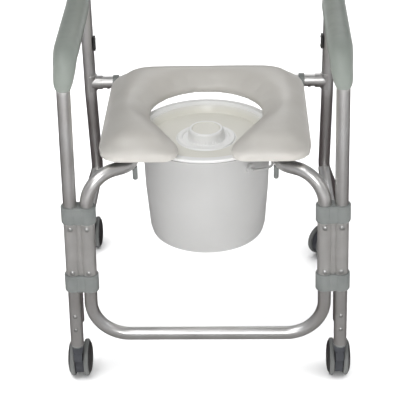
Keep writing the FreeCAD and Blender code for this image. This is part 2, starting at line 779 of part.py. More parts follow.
def hood():
    """Moulded body between the wheels with a neck for the stem."""
    half = WHEEL_IN - 1.0
    hub = V(CASTER_TRAIL, 0, WHEEL_R)
    disc = Part.makeCylinder(31, half * 2, hub - V(0, half, 0), Y_AXIS)
    neck = Part.makeCylinder(half, NECK_TOP - 50, V(0, 0, 50), Z_AXIS)
    cap = Part.makeCylinder(11, NECK_TOP - 72.5, V(0, 0, 72.5), Z_AXIS)
    corners = [V(-9, -half, 52), V(-9, -half, 72), V(4, -half, 78), V(30, -half, 68.4),
               V(44, -half, 40), V(20, -half, 34)]
    cheek = Part.Face(Part.makePolygon(corners + [corners[0]])).extrude(V(0, half * 2, 0))
    body = fuse_all([disc, neck, cap, cheek])
    body = body.cut(Part.makeCylinder(AXLE_R, half * 2, hub - V(0, half, 0), Y_AXIS))
    body = body.cut(Part.makeCylinder(STEM_R, 40, V(0, 0, 58), Z_AXIS))
    return body


def stem():
    """Steel stem with its bearing washer."""
    pin = Part.makeCylinder(STEM_R, 128 - 58, V(0, 0, 58), Z_AXIS)
    washer = Part.makeCylinder(9.5, 1.2, V(0, 0, NECK_TOP), Z_AXIS)
    return pin.fuse(washer).removeSplitter()


def axle():
    """Steel axle through the hood and both wheels."""
    return Part.makeCylinder(AXLE_R, WHEEL_OUT * 2 - 3, V(CASTER_TRAIL, -WHEEL_OUT + 1.5, WHEEL_R), Y_AXIS)


def wheel(sign):
    """One twin wheel: rounded tread, dished outer face."""
    r = WHEEL_R
    w_in = WHEEL_IN
    w_out = WHEEL_OUT
    profile = [(AXLE_R + RUN_PLAY, w_in), (r - 3.0, w_in), (r - 0.8, w_in + 1.6), (r, w_in + 4.0),
               (r, w_out - 5.5), (r - 1.6, w_out - 2.2), (r - 5.0, w_out), (r - 9.0, w_out),
               (r - 11.5, w_out - 2.5), (11.0, w_out - 2.5), (9.0, w_out - 0.8), (AXLE_R + RUN_PLAY, w_out - 0.8)]
    corners = [V(radius, across, 0) for radius, across in profile]
    face = Part.Face(Part.makePolygon(corners + [corners[0]]))
    solid = face.revolve(V(0, 0, 0), Y_AXIS, 360)
    if sign < 0:
        solid = solid.mirror(V(0, 0, 0), Y_AXIS)
    solid.translate(V(CASTER_TRAIL, 0, WHEEL_R))
    return solid


def caster_sockets():
    """Plug in the bottom of each leg that takes the caster's stem."""
    plugs = []
    for side, end, _ in CASTERS.values():
        spot = caster_spot(side, end)
        lean = 0.0
        if end == "front":
            lean = side * LEG_SPLAY
        foot = spot + V(0, 0, LEG_BOTTOM)
        top = foot + V(-lean * 44, 0, 44)
        plug = rod(foot, top, TUBE_R - TUBE_WALL)
        flange = Part.makeCylinder(TUBE_R, LEG_BOTTOM - SOCKET_FLANGE_LOW,
                                   V(spot.x, spot.y, SOCKET_FLANGE_LOW), Z_AXIS)
        bore = Part.makeCylinder(STEM_R + RUN_PLAY, 60, V(spot.x, spot.y, 80), Z_AXIS)
        plugs.append(plug.fuse(flange).removeSplitter().cut(bore))
    return plugs


def write_casters():
    """Every caster's own nodes."""
    for name, (side, end, heading) in CASTERS.items():
        spot = caster_spot(side, end)
        write(name + "_caster_body", in_place(hood(), spot, heading))
        write(name + "_caster_stem", in_place(stem(), spot, heading))
        write(name + "_axle", in_place(axle(), spot, heading))
        write(name + "_wheel_a", in_place(wheel(-1), spot, heading))
        write(name + "_wheel_b", in_place(wheel(1), spot, heading))


# ---------------------------------------------------------------- write everything

def main():
    """Build and write every node."""
    os.makedirs("parts", exist_ok=True)
    rivets = sleeve_rivets()
    leg_pins = leg_rivets()
    low_rivets = crossbar_rivets()
    plates = belt_anchors()
    plate_pins = belt_anchor_rivets()
    back_pins = backrest_screws()
    pegs = rail_pegs()
    for name, side in SIDES.items():
        write(name + "_arm_tube", without_pins(without_pins(arm_tube(side), rivets), leg_pins))
        write(name + "_side_rail", without_pins(side_rail(side), leg_pins))
        write(name + "_sleeve", without_pins(sleeve(side), rivets))
        for level, (low, high) in COLLAR_SPANS.items():
            write("%s_%s_collar" % (name, level), without_pins(collar(side, low, high), rivets))
        write(name + "_arm_clamp", arm_clamp(side))
        write(name + "_arm_pad", arm_pad(side))
        write(name + "_hinge_clip", hinge_clip(side))
    write("front_frame_tube", without_pins(without_pins(front_frame_tube(), rivets), pegs))
    write("rear_crossbar", without_pins(rear_crossbar(), low_rivets))
    back_tube = without_pins(tube(back_frame_path()), plate_pins)
    write("back_frame_tube", without_pins(back_tube, back_pins))
    write("crossbar_saddles", Part.makeCompound([crossbar_saddle(s) for s in SIDES.values()]))
    write("crossbar_bushes", Part.makeCompound([crossbar_bush(s) for s in SIDES.values()]))
    write("seat_buffers", Part.makeCompound([seat_buffer(s) for s in SIDES.values()]))
    write("sleeve_rivets", rivets)
    write("leg_rivets", leg_pins)
    write("crossbar_rivets", low_rivets)
    write("belt_anchor_rivets", plate_pins)
    write("belt_anchors", without_pins(plates, plate_pins))
    write("rail_pegs", pegs)
    write("backrest_board", backrest_board())
    write("backrest_pad", backrest_pad())
    write("backrest_screws", back_pins)
    write("seat_board", seat_board())
    write("seat_pad", seat_pad())
    write("seat_screws", Part.makeCompound(seat_screw_solids()))
    write("pail", pail())
    write("pail_lid", pail_lid())
    write("lid_knob", lid_knob())
    write("bail_handle", bail())
    sockets = caster_sockets()
    write("caster_sockets", Part.makeCompound([without_pins(s, leg_pins) for s in sockets]))
    write_casters()


main()
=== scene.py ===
"""Looks of the wheeled commode chair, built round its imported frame.

Metres, +Z up, front of the chair towards -Y, origin on the floor below the middle of the chair.
Hard parts keep the frame's own shapes and get their materials here. Soft parts and wheels are new meshes.
"""
import json
import math

import bmesh
import bpy
from mathutils import Matrix, Vector
from mathutils.bvhtree import BVHTree


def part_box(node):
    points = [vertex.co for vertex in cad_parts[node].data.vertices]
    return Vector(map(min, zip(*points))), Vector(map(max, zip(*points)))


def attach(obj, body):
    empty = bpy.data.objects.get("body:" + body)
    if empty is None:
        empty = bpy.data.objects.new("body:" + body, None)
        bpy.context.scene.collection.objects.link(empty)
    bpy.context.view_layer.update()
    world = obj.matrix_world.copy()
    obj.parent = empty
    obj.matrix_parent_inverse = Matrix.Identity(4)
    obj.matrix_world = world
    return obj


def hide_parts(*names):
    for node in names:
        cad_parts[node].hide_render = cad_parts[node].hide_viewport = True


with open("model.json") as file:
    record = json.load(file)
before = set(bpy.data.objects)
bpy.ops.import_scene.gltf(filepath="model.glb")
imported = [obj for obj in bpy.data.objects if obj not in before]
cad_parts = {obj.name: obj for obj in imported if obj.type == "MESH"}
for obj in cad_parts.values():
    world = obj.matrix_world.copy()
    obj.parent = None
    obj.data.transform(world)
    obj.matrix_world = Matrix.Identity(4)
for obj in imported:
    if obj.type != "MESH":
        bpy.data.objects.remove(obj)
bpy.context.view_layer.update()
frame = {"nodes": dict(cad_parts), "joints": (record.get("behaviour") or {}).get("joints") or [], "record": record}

SIDES = {"left": -1, "right": 1}
CASTERS = ("front_left", "front_right", "rear_left", "rear_right")

# Camera: its place, and how far it looks down, turns and tips, in radians
CAMERA_AT = Vector((0.0597, -2.3137, 1.5575))
CAMERA_DOWN = 0.509
CAMERA_TURN = 0.034
CAMERA_TIP = -0.024
CAMERA_LENS_MM = 112.8
SENSOR_MM = 36.0

# Materials
NOISE_MIDDLE = (0.3, 0.7)       # the part of a noise factor's range that most of it falls in
ROUGH_SPREAD = 0.06             # how far the roughness goes to each side of its middle value
PEBBLES_PER_METRE = 1100.0
LID_REACH = 0.16                # radius that the lid's colour bands are measured against

# Arm tube, which is front leg, bend and arm in one
TUBE_R = 0.0127
LEG_X = 0.257                   # the leg's distance from the middle at SPLAY_HEIGHT
LEG_SPLAY = 0.022               # how far it leans out per metre downwards
SPLAY_HEIGHT = 0.3
ARM_BEND_R = 0.050
ARM_REAR_X = 0.255              # the arm's distance from the middle at its rear end
ARM_LENGTH = 0.4346             # from the leg to the arm's rear end

# Grip: half widths at its front end, along the arm and at its rear end, then its shape
GRIP_FRONT = 0.0152
GRIP_FULL = 0.0226
GRIP_REAR = 0.0170
GRIP_INSET = 0.0035             # the grip sits this far in from the tube's middle
GRIP_INSET_REACH = 0.4          # share of the bend over which it comes to do so
GRIP_CORNER_RISE = 0.0040       # extra height in the middle of the bend
GRIP_SHORT_OF_CLAMP = 0.012
GRIP_END_DEPTH = 0.0062
GRIP_ON_TUBE = 0.0001           # gap between the tube and the closed end
GRIP_SQUARENESS = 0.88          # 1 is a round section and less is squarer
GRIP_BEND_STEPS = 18
GRIP_ARM_STEPS = 40
GRIP_TAPER_STEPS = 10           # the last steps of the arm, over which the grip gets thinner
GRIP_TURNS = 40

# Padding
PAD_RISE = 1.24                 # how much higher than the slab the middle stands
PAD_SMOOTHING = 34              # rounds of smoothing before the cloth simulation
CLOTH_SMOOTHING = 9             # and after it
CLOTH_PRESSURE = 4.0
CLOTH_FRAMES = 20
CLOTH_CAP = 0.004               # the furthest that the simulation may move a point
STAPLED = 0.003                 # points this near the board keep their place
SKIN_GAP = 0.0003               # gap between the seat's underside and its board

# Wheel
WHEEL_R = 0.0375
WHEEL_STAND_OFF = 0.009         # from the middle of the caster to the wheel's inner face
TYRE_WIDTH = 0.0095
TYRE_SHOULDER = 0.0038
TYRE_BORE = 0.0245
SHOULDER_STEPS = 6
WHEEL_TURNS = 72

# Stage: floor, pale wall, the card that only reflections show and the point that the lights aim at
FLOOR_HEIGHT = -0.0002
WALL_R = 13.0
WALL_FOOT = -0.01
WALL_HEIGHT = 9.0
WALL_STEPS = 96
CARD_HEIGHT = 0.002
CARD_SIZE = 5.0
CARD_FRONT = -2.0               # where the card's tones start and end, along Y
CARD_REAR = 1.0
AIM = Vector((0, 0, 0.4))


# ---------------------------------------------------------------- materials

def node_material(name):
    """Empty principled material, with the node tree and shader needed to wire it."""
    mat = bpy.data.materials.new(name)
    mat.use_nodes = True
    tree = mat.node_tree
    shader = tree.nodes["Principled BSDF"]
    return mat, tree, shader


def place(tree):
    """Where a point lies on the object, in metres."""
    return tree.nodes.new("ShaderNodeTexCoord").outputs["Object"]


def noise(tree, size, detail):
    """Noise factor whose features are about `size` metres across."""
    texture = tree.nodes.new("ShaderNodeTexNoise")
    texture.inputs["Scale"].default_value = 1.0 / size
    texture.inputs["Detail"].default_value = detail
    tree.links.new(place(tree), texture.inputs["Vector"])
    return texture.outputs["Fac"]


def map_range(tree, value, start, end, low=0.0, high=1.0):
    """Value that goes from low to high as another goes from start to end."""
    node = tree.nodes.new("ShaderNodeMapRange")
    node.inputs["From Min"].default_value = start
    node.inputs["From Max"].default_value = end
    node.inputs["To Min"].default_value = low
    node.inputs["To Max"].default_value = high
    tree.links.new(value, node.inputs["Value"])
    return node.outputs["Result"]


def spread(tree, factor, low, high):
    """Value between low and high as a noise factor goes through its middle range."""
    return map_range(tree, factor, *NOISE_MIDDLE, low, high)


def ramp(tree, factor, low, high):
    """Colour between two colours as a noise factor goes through its middle range."""
    node = tree.nodes.new("ShaderNodeValToRGB")
    for stop, at, colour in zip(node.color_ramp.elements, NOISE_MIDDLE, (low, high)):
        stop.position = at
        stop.color = (*colour, 1)
    tree.links.new(factor, node.inputs["Fac"])
    return node.outputs["Color"]


def colour_bands(tree, factor, stops):
    """Colour from a list of (position, colour) stops, read off by a factor."""
    node = tree.nodes.new("ShaderNodeValToRGB")
    bands = node.color_ramp.elements
    bands.remove(bands[-1])
    bands[0].position, bands[0].color = stops[0][0], (*stops[0][1], 1)
    for at, colour in stops[1:]:
        bands.new(at).color = (*colour, 1)
    tree.links.new(factor, node.inputs["Fac"])
    return node.outputs["Color"]


def bump(tree, heights):
    """Normal from (factor, strength, depth in metres) layers, one on top of the other."""
    previous = None
    for factor, strength, depth in heights:
        node = tree.nodes.new("ShaderNodeBump")
        node.inputs["Strength"].default_value = strength
        node.inputs["Distance"].default_value = depth
        tree.links.new(factor, node.inputs["Height"])
        if previous is not None:
            tree.links.new(previous, node.inputs["Normal"])
        previous = node.outputs["Normal"]
    return previous


def connect(tree, shader, colour, rough, normal):
    """Wire the three things that every material here has: colour, roughness and normal."""
    tree.links.new(colour, shader.inputs["Base Color"])
    tree.links.new(rough, shader.inputs["Roughness"])
    tree.links.new(normal, shader.inputs["Normal"])


def surface(name, light, dark, rough, grain, depth, metal=0.0, patch=0.035, coat=0.0, wave=0.0):
    """Mottled colour, uneven roughness and a fine grain: most of the materials.

    `rough` is the middle roughness. `grain` and `depth` are the size and depth of the grain, `patch` is the
    size of the mottling and `wave` is the depth of a slow unevenness, all in metres.
    """
    mat, tree, shader = node_material(name)
    smudge = noise(tree, patch * 0.6, 6.0)
    layers = [(noise(tree, grain, 3.0), 0.35, depth)]
    if wave:
        layers.append((noise(tree, 0.05, 2.0), 0.25, wave))
    connect(tree, shader, ramp(tree, noise(tree, patch, 5.0), dark, light),
            spread(tree, smudge, rough - ROUGH_SPREAD, rough + ROUGH_SPREAD), bump(tree, layers))
    shader.inputs["Metallic"].default_value = metal
    shader.inputs["Coat Weight"].default_value = coat
    shader.inputs["Coat Roughness"].default_value = 0.25
    return mat


def tube_aluminium():
    """Satin drawn tube with faint handling marks."""
    mat, tree, shader = node_material("satin_tube")
    draw = noise(tree, 0.0016, 2.0)
    scuff = noise(tree, 0.012, 8.0)
    connect(tree, shader, ramp(tree, noise(tree, 0.06, 6.0), (0.63, 0.615, 0.60), (0.74, 0.735, 0.73)),
            spread(tree, scuff, 0.34, 0.42), bump(tree, [(draw, 0.10, 0.00004), (scuff, 0.05, 0.00008)]))
    shader.inputs["Metallic"].default_value = 1.0
    return mat


def vinyl():
    """Smooth warm grey upholstery vinyl with a fine pebble grain."""
    mat, tree, shader = node_material("seat_vinyl")
    pebbles = tree.nodes.new("ShaderNodeTexVoronoi")
    pebbles.inputs["Scale"].default_value = PEBBLES_PER_METRE
    tree.links.new(place(tree), pebbles.inputs["Vector"])
    pull = noise(tree, 0.03, 3.0)
    connect(tree, shader, ramp(tree, noise(tree, 0.09, 3.0), (0.57, 0.545, 0.505), (0.63, 0.61, 0.57)),
            spread(tree, noise(tree, 0.02, 5.0), 0.36, 0.45),
            bump(tree, [(pebbles.outputs["Distance"], 0.10, 0.00012), (pull, 0.10, 0.0006)]))
    shader.inputs["Coat Weight"].default_value = 0.12
    shader.inputs["Coat Roughness"].default_value = 0.3
    return mat


def lid_plastic():
    """Glossy lid plastic: white rim, cream dish and knob top, and the ring and knob side in the same white painted
    lighter, a painted highlight.
    """
    mat, tree, shader = node_material("lid_polypropylene")
    middle = sum(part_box("pail_lid"), Vector()) / 2
    mapping = tree.nodes.new("ShaderNodeMapping")
    mapping.inputs["Location"].default_value = (-middle.x, -middle.y, 0)
    mapping.inputs["Scale"].default_value = (1, 1, 0)
    tree.links.new(place(tree), mapping.inputs["Vector"])
    length = tree.nodes.new("ShaderNodeVectorMath")
    length.operation = "LENGTH"
    tree.links.new(mapping.outputs["Vector"], length.inputs[0])
    white = (0.84, 0.84, 0.83)
    cream = (0.765, 0.75, 0.68)
    # bright is the lid's own white painted lighter for the ring and knob side: painted light, the same plastic as
    # the rim
    bright = (0.90, 0.90, 0.89)
    rings = ((0.0275, cream), (0.0290, bright), (0.0575, bright), (0.0600, cream), (0.1150, cream),
             (0.1240, white))
    bands = colour_bands(tree, map_range(tree, length.outputs["Value"], 0.0, LID_REACH),
                         [(radius / LID_REACH, colour) for radius, colour in rings])
    cloud = ramp(tree, noise(tree, 0.05, 4.0), (0.96, 0.96, 0.955), (1.0, 1.0, 1.0))
    tint = tree.nodes.new("ShaderNodeMix")
    tint.data_type = "RGBA"
    tint.blend_type = "MULTIPLY"
    tint.inputs["Factor"].default_value = 1.0
    tree.links.new(bands, tint.inputs["A"])
    tree.links.new(cloud, tint.inputs["B"])
    connect(tree, shader, tint.outputs["Result"], spread(tree, noise(tree, 0.03, 5.0), 0.28, 0.38),
            bump(tree, [(noise(tree, 0.004, 3.0), 0.25, 0.00005)]))
    shader.inputs["Coat Weight"].default_value = 0.05
    shader.inputs["Coat Roughness"].default_value = 0.3
    return mat


def make_materials():
    """One material for each of the record's slots."""
    return {
        "tube_aluminium": tube_aluminium(),
        "sleeve_aluminium": surface("satin_sleeve", (0.60, 0.59, 0.575), (0.53, 0.52, 0.505), 0.38,
                                    0.0015, 0.00005, metal=0.75),
        "cast_fitting": surface("cast_alloy", (0.66, 0.65, 0.64), (0.56, 0.55, 0.545), 0.36,
                                0.0025, 0.0002, metal=1.0),
        "grey_plastic": surface("grey_nylon", (0.225, 0.238, 0.23), (0.185, 0.198, 0.192), 0.46,
                                0.0011, 0.00012),
        "bright_steel": surface("zinc_rivet", (0.60, 0.60, 0.59), (0.48, 0.48, 0.47), 0.42,
                                0.002, 0.00008, metal=1.0),
        "grip_foam": surface("arm_grip", (0.285, 0.312, 0.283), (0.255, 0.282, 0.254), 0.47,
                             0.0009, 0.00014, coat=0.06, wave=0.0004),
        "vinyl": vinyl(),
        "board": surface("painted_board", (0.088, 0.086, 0.084), (0.074, 0.073, 0.071), 0.62,
                         0.003, 0.0003),
        "black_plastic": surface("black_nylon", (0.035, 0.033, 0.034), (0.02, 0.02, 0.02), 0.42,
                                 0.001, 0.00012),
        "pail_white": surface("pail_polypropylene", (0.545, 0.542, 0.534), (0.505, 0.502, 0.494), 0.36,
                              0.004, 0.00004, patch=0.12, coat=0.05),
        "lid_cream": lid_plastic(),
        "caster_slate": surface("slate_nylon", (0.075, 0.080, 0.092), (0.05, 0.053, 0.062), 0.42,
                                0.0012, 0.00014),
        "wheel_rubber": surface("grey_tyre", (0.20, 0.205, 0.20), (0.155, 0.16, 0.157), 0.5,
                                0.0013, 0.00016),
    }


# ---------------------------------------------------------------- mesh helpers

def add_to_scene(name, data):
    """Object that holds some mesh, light or camera data, in the scene."""
    obj = bpy.data.objects.new(name, data)
    bpy.context.scene.collection.objects.link(obj)
    return obj


def shade(piece, smooth=True):
    """Shade all of a piece smooth or flat."""
    for face in piece.data.polygons:
        face.use_smooth = smooth


def new_piece(name, bm, material, smooth=True):
    """Mesh object from a bmesh, in the scene and with its material."""
    mesh = bpy.data.meshes.new(name)
    bmesh.ops.recalc_face_normals(bm, faces=bm.faces)
    bm.to_mesh(mesh)
    bm.free()
    piece = add_to_scene(name, mesh)
    mesh.materials.append(material)
    shade(piece, smooth)
    return piece


def apply_modifiers(piece):
    """Bake a piece's modifiers into its mesh."""
    graph = bpy.context.evaluated_depsgraph_get()
    mesh = bpy.data.meshes.new_from_object(piece.evaluated_get(graph))
    piece.modifiers.clear()
    piece.data = mesh


def subdivide(piece):
    """Round a piece with one level of subdivision."""
    piece.modifiers.new("subdivide", "SUBSURF").levels = 1
    apply_modifiers(piece)


def angles(steps):
    """Angles that go evenly round a full turn."""
    return [2 * math.pi * i / steps for i in range(steps)]


def bridge(bm, rings):
    """Faces between each ring of points and the next; a ring of one point closes to it."""
    turns = max(len(ring) for ring in rings)
    for low, high in zip(rings, rings[1:]):
        for i in range(turns):
            j = (i + 1) % turns
            corners = [low[i % len(low)], low[j % len(low)], high[j % len(high)], high[i % len(high)]]
            bm.faces.new(list(dict.fromkeys(corners)))


def lathe(profile, centre, axis):
    """Turned solid from (radius, distance along the axis) points.

    It is closed when the first and last radius are 0, or when the last point is the first one again.
    """
    bm = bmesh.new()
    side = axis.orthogonal().normalized()
    other = axis.cross(side)
    rings = []
    for radius, along in profile:
        middle = centre + axis * along
        if radius == 0:
            rings.append([bm.verts.new(middle)])
            continue
        rings.append([bm.verts.new(middle + (side * math.cos(a) + other * math.sin(a)) * radius)
                      for a in angles(WHEEL_TURNS)])
    bridge(bm, rings)
    return bm


# ---------------------------------------------------------------- padding

def node_copy(name, node):
    """Mesh object with a copy of a node's mesh."""
    bm = bmesh.new()
    bm.from_mesh(frame["nodes"][node].data)
    mesh = bpy.data.meshes.new(name)
    bm.to_mesh(mesh)
    bm.free()
    return add_to_scene(name, mesh)


def remesh(piece, voxel):
    """Even quads of about one size over the whole piece."""
    modifier = piece.modifiers.new("remesh", "REMESH")
    modifier.mode = "VOXEL"
    modifier.voxel_size = voxel
    apply_modifiers(piece)


def relax(piece, times, held):
    """Smooth a piece a number of times; `held` says which points keep their place."""
    bm = bmesh.new()
    bm.from_mesh(piece.data)
    free = [v for v in bm.verts if not held(v.co)]
    for _ in range(times):
        bmesh.ops.smooth_vert(bm, verts=free, factor=0.5, use_axis_x=True, use_axis_y=True, use_axis_z=True)
    bm.to_mesh(piece.data)
    bm.free()


def side_walls(node, up):
    """Search tree of a slab's side faces, which are the ones nearly square to its thickness."""
    mesh = frame["nodes"][node].data
    lean = 0.25
    walls = [face for face in mesh.polygons if abs(face.normal.dot(up)) < lean]
    corners = [v.co.copy() for v in mesh.vertices]
    return BVHTree.FromPolygons(corners, [tuple(face.vertices) for face in walls])


def crown(piece, node, up, waist, round_over, round_under, bulge):
    """Turn a slab into a stuffed shape: high in the middle, bulging out at its waist along the outline.

    The waist is a height along `up`. Above it the slab rounds off over the width `round_over`, measured in
    from the outline, and below it over `round_under`.
    """
    walls = side_walls(node, up)
    for v in piece.data.vertices:
        above = v.co.dot(up) - waist
        _, wall_normal, _, inside = walls.find_nearest(v.co - up * above)
        reach = round_over if above > 0 else round_under
        share = 1 - min(inside / reach, 1.0)
        height = above * math.sqrt(max(0.0, 1 - share * share))
        if above > 0:
            height *= PAD_RISE
        v.co += up * (height - above) + wall_normal * (bulge * share * share)


def inflate(piece, held):
    """Blow a skin up by cloth simulation, with held points pinned and no point moving more than the cap."""
    start = [v.co.copy() for v in piece.data.vertices]
    pins = piece.vertex_groups.new(name="pins")
    pins.add([v.index for v in piece.data.vertices if held(v.co)], 1.0, "REPLACE")
    cloth = piece.modifiers.new("cloth", "CLOTH")
    settings = cloth.settings
    settings.vertex_group_mass = "pins"
    settings.use_pressure = True
    settings.uniform_pressure_force = CLOTH_PRESSURE
    settings.effector_weights.gravity = 0.0
    settings.quality = 6
    settings.tension_stiffness = 12.0
    settings.bending_stiffness = 1.5
    scene = bpy.context.scene
    for step in range(CLOTH_FRAMES):
        scene.frame_set(step + 1)
    apply_modifiers(piece)
    scene.frame_set(1)
    for v, before in zip(piece.data.vertices, start):
        move = v.co - before
        if move.length > CLOTH_CAP:
            v.co = before + move.normalized() * CLOTH_CAP


def padded_piece(name, node, body, material, up, voxel, waist, **rounding):
    """Upholstered pad that stands for a node: crowned, blown up and subdivided.

    `up` points away from its board, and `waist` is how far its fullest outline stands off the board. The
    points next to the board keep their place, because the cover is stapled there.
    """
    foot = min(v.co.dot(up) for v in frame["nodes"][node].data.vertices)

    def held(point):
        return point.dot(up) < foot + STAPLED

    piece = node_copy(name, node)
    remesh(piece, voxel)
    crown(piece, node, up, foot + waist, **rounding)
    remesh(piece, voxel)
    relax(piece, PAD_SMOOTHING, held)
    inflate(piece, held)
    relax(piece, CLOTH_SMOOTHING, held)
    subdivide(piece)
    piece.data.materials.clear()
    piece.data.materials.append(material)
    shade(piece)
    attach(piece, body)
    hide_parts(node)
    return piece


def seat_cover(materials):
    """Puffed keyhole seat, flat underneath where it lies on its board."""
    piece = padded_piece("seat_cover", "seat_pad", "seat", materials["vinyl"], Vector((0, 0, 1)),
                         voxel=0.0045, waist=0.009, round_over=0.042, round_under=0.007, bulge=0.0055)
    board_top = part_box("seat_pad")[0].z + SKIN_GAP
    for v in piece.data.vertices:
        v.co.z = max(v.co.z, board_top)


def backrest_cover(materials):
    """Puffed backrest on its board; its front leans back with the uprights."""
    board = frame["nodes"]["backrest_board"].data
    up = max(board.polygons, key=lambda face: face.area).normal.copy()
    if up.y > 0:
        up = -up
    padded_piece("backrest_cover", "backrest_pad", "frame", materials["vinyl"], up, voxel=0.005,
                 waist=0.008, round_over=0.024, round_under=0.006, bulge=0.002)


# ---------------------------------------------------------------- arm grips

def grip_line(side_name):
    """Stations of a grip from its front end at the foot of the bend, round the bend and back along the arm.

    Each is (centre, outward direction, half width, extra height on the outer side).
    """
    side = SIDES[side_name]
    tube_low, tube_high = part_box(side_name + "_arm_tube")
    arm_z = tube_high.z - TUBE_R
    leg_y = tube_low.y + TUBE_R
    bend_y = leg_y + ARM_BEND_R
    bend_z = arm_z - ARM_BEND_R

    def leg_x(z):
        return LEG_X - LEG_SPLAY * (z - SPLAY_HEIGHT)

    def arm_x(y):
        front = leg_x(arm_z)
        return front + (ARM_REAR_X - front) * (y - leg_y) / ARM_LENGTH

    stations = []
    for i in range(GRIP_BEND_STEPS + 1):
        share = i / GRIP_BEND_STEPS
        a = math.pi / 2 * share
        outward = Vector((0, -math.cos(a), math.sin(a)))
        centre = Vector((0, bend_y, bend_z)) + outward * ARM_BEND_R
        inset = GRIP_INSET * min(1.0, share / GRIP_INSET_REACH)
        centre.x = side * (leg_x(bend_z) * (1 - share) + arm_x(bend_y) * share - inset)
        half = GRIP_FRONT + (GRIP_FULL - GRIP_FRONT) * math.sqrt(share)
        stations.append((centre, outward, half, GRIP_CORNER_RISE * math.sin(2 * a) ** 2))
    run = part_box(side_name + "_arm_pad")[1].y - GRIP_SHORT_OF_CLAMP - bend_y
    for i in range(1, GRIP_ARM_STEPS + 1):
        y = bend_y + run * i / GRIP_ARM_STEPS
        taper = max(0.0, (i - GRIP_ARM_STEPS + GRIP_TAPER_STEPS) / GRIP_TAPER_STEPS)
        x = arm_x(y) - GRIP_INSET * (1 - taper)
        half = GRIP_FULL - (GRIP_FULL - GRIP_REAR) * taper ** 2
        stations.append((Vector((side * x, y, arm_z)), Vector((0, 0, 1)), half, 0.0))
    return stations


def grip_end(bm, ring, direction):
    """Round a grip's end in to the tube and close it inside.

    Each new ring is a share of the first one's size, though never smaller than the tube, and is pushed out
    by a part of the end's depth.
    """
    centre = sum((v.co for v in ring), Vector()) / len(ring)
    rings = [ring]
    for share, part in ((0.97, 0.35), (0.88, 0.71), (0.74, 0.94), (0.0, 1.0), (0.0, 0.16)):
        fresh = []
        for v in ring:
            arm = v.co - centre
            reach = max(arm.length * share, TUBE_R + GRIP_ON_TUBE)
            push = direction * (GRIP_END_DEPTH * part)
            fresh.append(bm.verts.new(centre + arm.normalized() * reach + push))
        rings.append(fresh)
    bridge(bm, rings)
    bm.faces.new(rings[-1])


def squared(value):
    """Cosine or sine bent a little, so that a round outline turns slightly square."""
    return math.copysign(abs(value) ** GRIP_SQUARENESS, value)


def arm_grip(side_name, materials):
    """Moulded grip over the arm and its front bend, fuller at the corner and tapered at both ends."""
    bm = bmesh.new()
    rings = []
    for centre, outward, half, extra in grip_line(side_name):
        ring = []
        for a in angles(GRIP_TURNS):
            across = squared(math.cos(a)) * half
            out = squared(math.sin(a)) * half + extra * max(0.0, math.sin(a))
            ring.append(bm.verts.new(centre + Vector((across, 0, 0)) + outward * out))
        rings.append(ring)
    bridge(bm, rings)
    grip_end(bm, rings[0], Vector((0, 0, -1)))
    grip_end(bm, rings[-1], Vector((0, 1, 0)))
    piece = new_piece(side_name + "_grip", bm, materials["grip_foam"])
    subdivide(piece)
    shade(piece)
    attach(piece, "frame")
    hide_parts(side_name + "_arm_pad")


# ---------------------------------------------------------------- wheels

def spin_axis(name):
    """(hub centre, unit axis) of a wheel joint, from the record."""
    for joint in frame["joints"]:
        if joint["name"] == name + "_spin":
            return Vector(joint["pos_m"]), Vector(joint["axis"]).normalized()
    raise SystemExit("no joint for " + name)


def tyre_outline():
    """Half section of a tyre, as (radius, distance from the inner face): a ring with two round shoulders."""
    core = WHEEL_R - TYRE_SHOULDER
    quarter = [math.pi / 2 * i / SHOULDER_STEPS for i in range(SHOULDER_STEPS + 1)]
    near = [(core + TYRE_SHOULDER * math.sin(a), TYRE_SHOULDER * (1 - math.cos(a))) for a in quarter]
    far = [(radius, TYRE_WIDTH - along) for radius, along in reversed(near)]
    start = (TYRE_BORE, 0.0004)
    return [start, *near, *far, (0.0325, TYRE_WIDTH), (TYRE_BORE, TYRE_WIDTH - 0.0020), start]


def hub_outline():
    """Half section of a hub face: a shallow dome with a small dip at its middle."""
    return [(0.0, 0.0005), (0.0243, 0.0005), (0.0333, TYRE_WIDTH - 0.0016), (0.0333, TYRE_WIDTH + 0.0002),
            (0.0322, TYRE_WIDTH + 0.0014), (0.0290, 0.0125), (0.0240, 0.0136), (0.0180, 0.0143),
            (0.0108, 0.0148), (0.0098, 0.0139), (0.0, 0.0139)]


def wheel(caster, letter, materials):
    """Rounded tyre and domed hub disc in place of one plain wheel."""
    node = "%s_wheel_%s" % (caster, letter)
    hub, axis = spin_axis(node)
    middle = sum(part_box(node), Vector()) / 2
    if (middle - hub).dot(axis) < 0:
        axis = -axis
    inner_face = hub + axis * WHEEL_STAND_OFF
    for what, outline, slot in (("tyre", tyre_outline(), "wheel_rubber"),
                                ("hub", hub_outline(), "black_plastic")):
        bm = lathe(outline, inner_face, axis)
        bmesh.ops.remove_doubles(bm, verts=bm.verts, dist=1e-7)
        piece = new_piece("%s_%s_%s" % (caster, what, letter), bm, materials[slot])
        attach(piece, node)
        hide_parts(node)


# ---------------------------------------------------------------- stage

def place_camera():
    """Camera at the viewing angle of the reference view."""
    data = bpy.data.cameras.new("camera")
    data.lens = CAMERA_LENS_MM
    data.sensor_width = SENSOR_MM
    camera = add_to_scene("camera", data)
    turn = Matrix.Rotation(CAMERA_TURN, 4, "Z")
    down = Matrix.Rotation(math.pi / 2 - CAMERA_DOWN, 4, "X")
    tip = Matrix.Rotation(CAMERA_TIP, 4, "Z")
    camera.matrix_world = Matrix.Translation(CAMERA_AT) @ turn @ down @ tip
    bpy.context.scene.camera = camera


def floor_material():
    """Pale matt floor."""
    mat, tree, shader = node_material("pale_floor")
    tree.links.new(ramp(tree, noise(tree, 0.4, 2.0), (0.90, 0.90, 0.90), (0.918, 0.918, 0.918)),
                   shader.inputs["Base Color"])
    shader.inputs["Roughness"].default_value = 0.7
    shader.inputs["Specular IOR Level"].default_value = 0.2
    return mat


